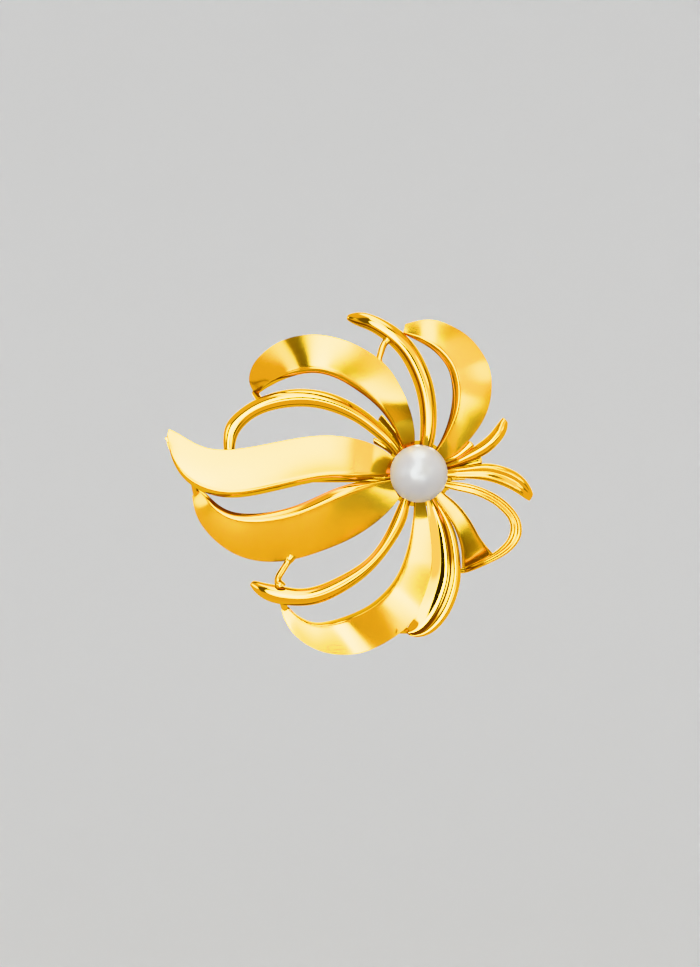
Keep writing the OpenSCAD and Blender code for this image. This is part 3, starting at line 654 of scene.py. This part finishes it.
def add_world():
    world = bpy.data.worlds.new("studio")
    bpy.context.scene.world = world
    world.use_nodes = True
    world.cycles.sampling_method = "NONE"
    nodes, links = world.node_tree.nodes, world.node_tree.links
    background = nodes["Background"]
    place = add_node(nodes, "ShaderNodeTexCoord")
    seen = add_node(nodes, "ShaderNodeRGB")
    seen.outputs[0].default_value = [WORLD_BASE * c for c in WARM] + [1]
    level = seen.outputs[0]
    for axis, inner, outer, strength, tint in WORLD_PATCHES:
        dot = add_node(nodes, "ShaderNodeVectorMath", operation="DOT_PRODUCT")
        links.new(place.outputs["Generated"], dot.inputs[0])
        dot.inputs[1].default_value = axis
        edge = add_node(nodes, "ShaderNodeMapRange", interpolation_type="SMOOTHSTEP")
        edge.inputs["From Min"].default_value = math.cos(math.radians(outer))
        edge.inputs["From Max"].default_value = math.cos(math.radians(inner))
        links.new(dot.outputs["Value"], edge.inputs["Value"])
        over = [strength * c for c in tint] + [1]
        level = mixed(nodes, links, edge.outputs["Result"], level, over)
    path = add_node(nodes, "ShaderNodeLightPath")
    # Light that has met one gold surface is dimmer on the next, so that the gaps stay deep gold
    again = add_node(nodes, "ShaderNodeMath", operation="GREATER_THAN")
    links.new(path.outputs["Glossy Depth"], again.inputs[0])
    again.inputs[1].default_value = AFTER_FIRST_GOLD
    dim = add_node(nodes, "ShaderNodeMix", data_type="RGBA", blend_type="MULTIPLY")
    links.new(again.outputs[0], dim.inputs["Factor"])
    links.new(level, dim.inputs[MIX_A])
    dim.inputs[MIX_B].default_value = DIMMED
    level = dim.outputs[MIX_RESULT]
    soft = add_node(nodes, "ShaderNodeRGB")
    soft.outputs[0].default_value = (SOFT_LIGHT, SOFT_LIGHT, SOFT_LIGHT, 1)
    mix = add_node(nodes, "ShaderNodeMix", data_type="RGBA")
    links.new(path.outputs["Is Glossy Ray"], mix.inputs["Factor"])
    links.new(soft.outputs[0], mix.inputs[MIX_A])
    links.new(level, mix.inputs[MIX_B])
    links.new(mix.outputs[MIX_RESULT], background.inputs["Color"])


def mixed(nodes, links, factor, under, over):
    mix = add_node(nodes, "ShaderNodeMix", data_type="RGBA")
    links.new(factor, mix.inputs["Factor"])
    links.new(under, mix.inputs[MIX_A])
    mix.inputs[MIX_B].default_value = over
    return mix.outputs[MIX_RESULT]


def add_sweep():
    """A pale floor that curves up behind the brooch."""
    rest()
    reach, back, bend, below = 2.5, 0.42, 0.3, 0.055
    bend_steps = 12
    bend_angle = 90 / bend_steps
    bpy.ops.mesh.primitive_plane_add(size=1)
    sweep = bpy.context.object
    sweep.name = "sweep"
    bpy.ops.object.mode_set(mode="EDIT")
    bpy.ops.mesh.select_all(action="SELECT")
    bpy.ops.mesh.merge(type="CENTER")
    bpy.ops.transform.translate(value=(-reach, -reach, 0))
    floor = {"value": (0, reach + back - bend, 0)}
    bpy.ops.mesh.extrude_region_move(TRANSFORM_OT_translate=floor)
    for i in range(bend_steps):
        a, b = math.radians(bend_angle * i), math.radians(bend_angle * (i + 1))
        step = (0, bend * (math.sin(b) - math.sin(a)), bend * (math.cos(a) - math.cos(b)))
        bpy.ops.mesh.extrude_region_move(TRANSFORM_OT_translate={"value": step})
    bpy.ops.mesh.extrude_region_move(TRANSFORM_OT_translate={"value": (0, 0, reach)})
    bpy.ops.mesh.select_all(action="SELECT")
    bpy.ops.mesh.extrude_region_move(TRANSFORM_OT_translate={"value": (2 * reach, 0, 0)})
    bpy.ops.mesh.select_all(action="SELECT")
    bpy.ops.transform.translate(value=(0, 0, cad_low[2] - below))
    rest()
    for p in sweep.data.polygons:
        p.use_smooth = True
    material, nodes, links, shader = new_material("pale floor")
    shader.inputs["Base Color"].default_value = (0.72, 0.72, 0.72, 1)
    shader.inputs["Roughness"].default_value = 0.8
    shader.inputs["Specular IOR Level"].default_value = 0.2
    clear = add_node(nodes, "ShaderNodeBsdfTransparent")
    path = add_node(nodes, "ShaderNodeLightPath")
    mix = add_node(nodes, "ShaderNodeMixShader")
    links.new(path.outputs["Is Glossy Ray"], mix.inputs["Fac"])
    links.new(shader.outputs["BSDF"], mix.inputs[1])
    links.new(clear.outputs["BSDF"], mix.inputs[2])
    links.new(mix.outputs["Shader"], nodes["Material Output"].inputs["Surface"])
    sweep.data.materials.append(material)


add_world()
add_sweep()
bpy.context.scene.view_settings.view_transform = "Khronos PBR Neutral"
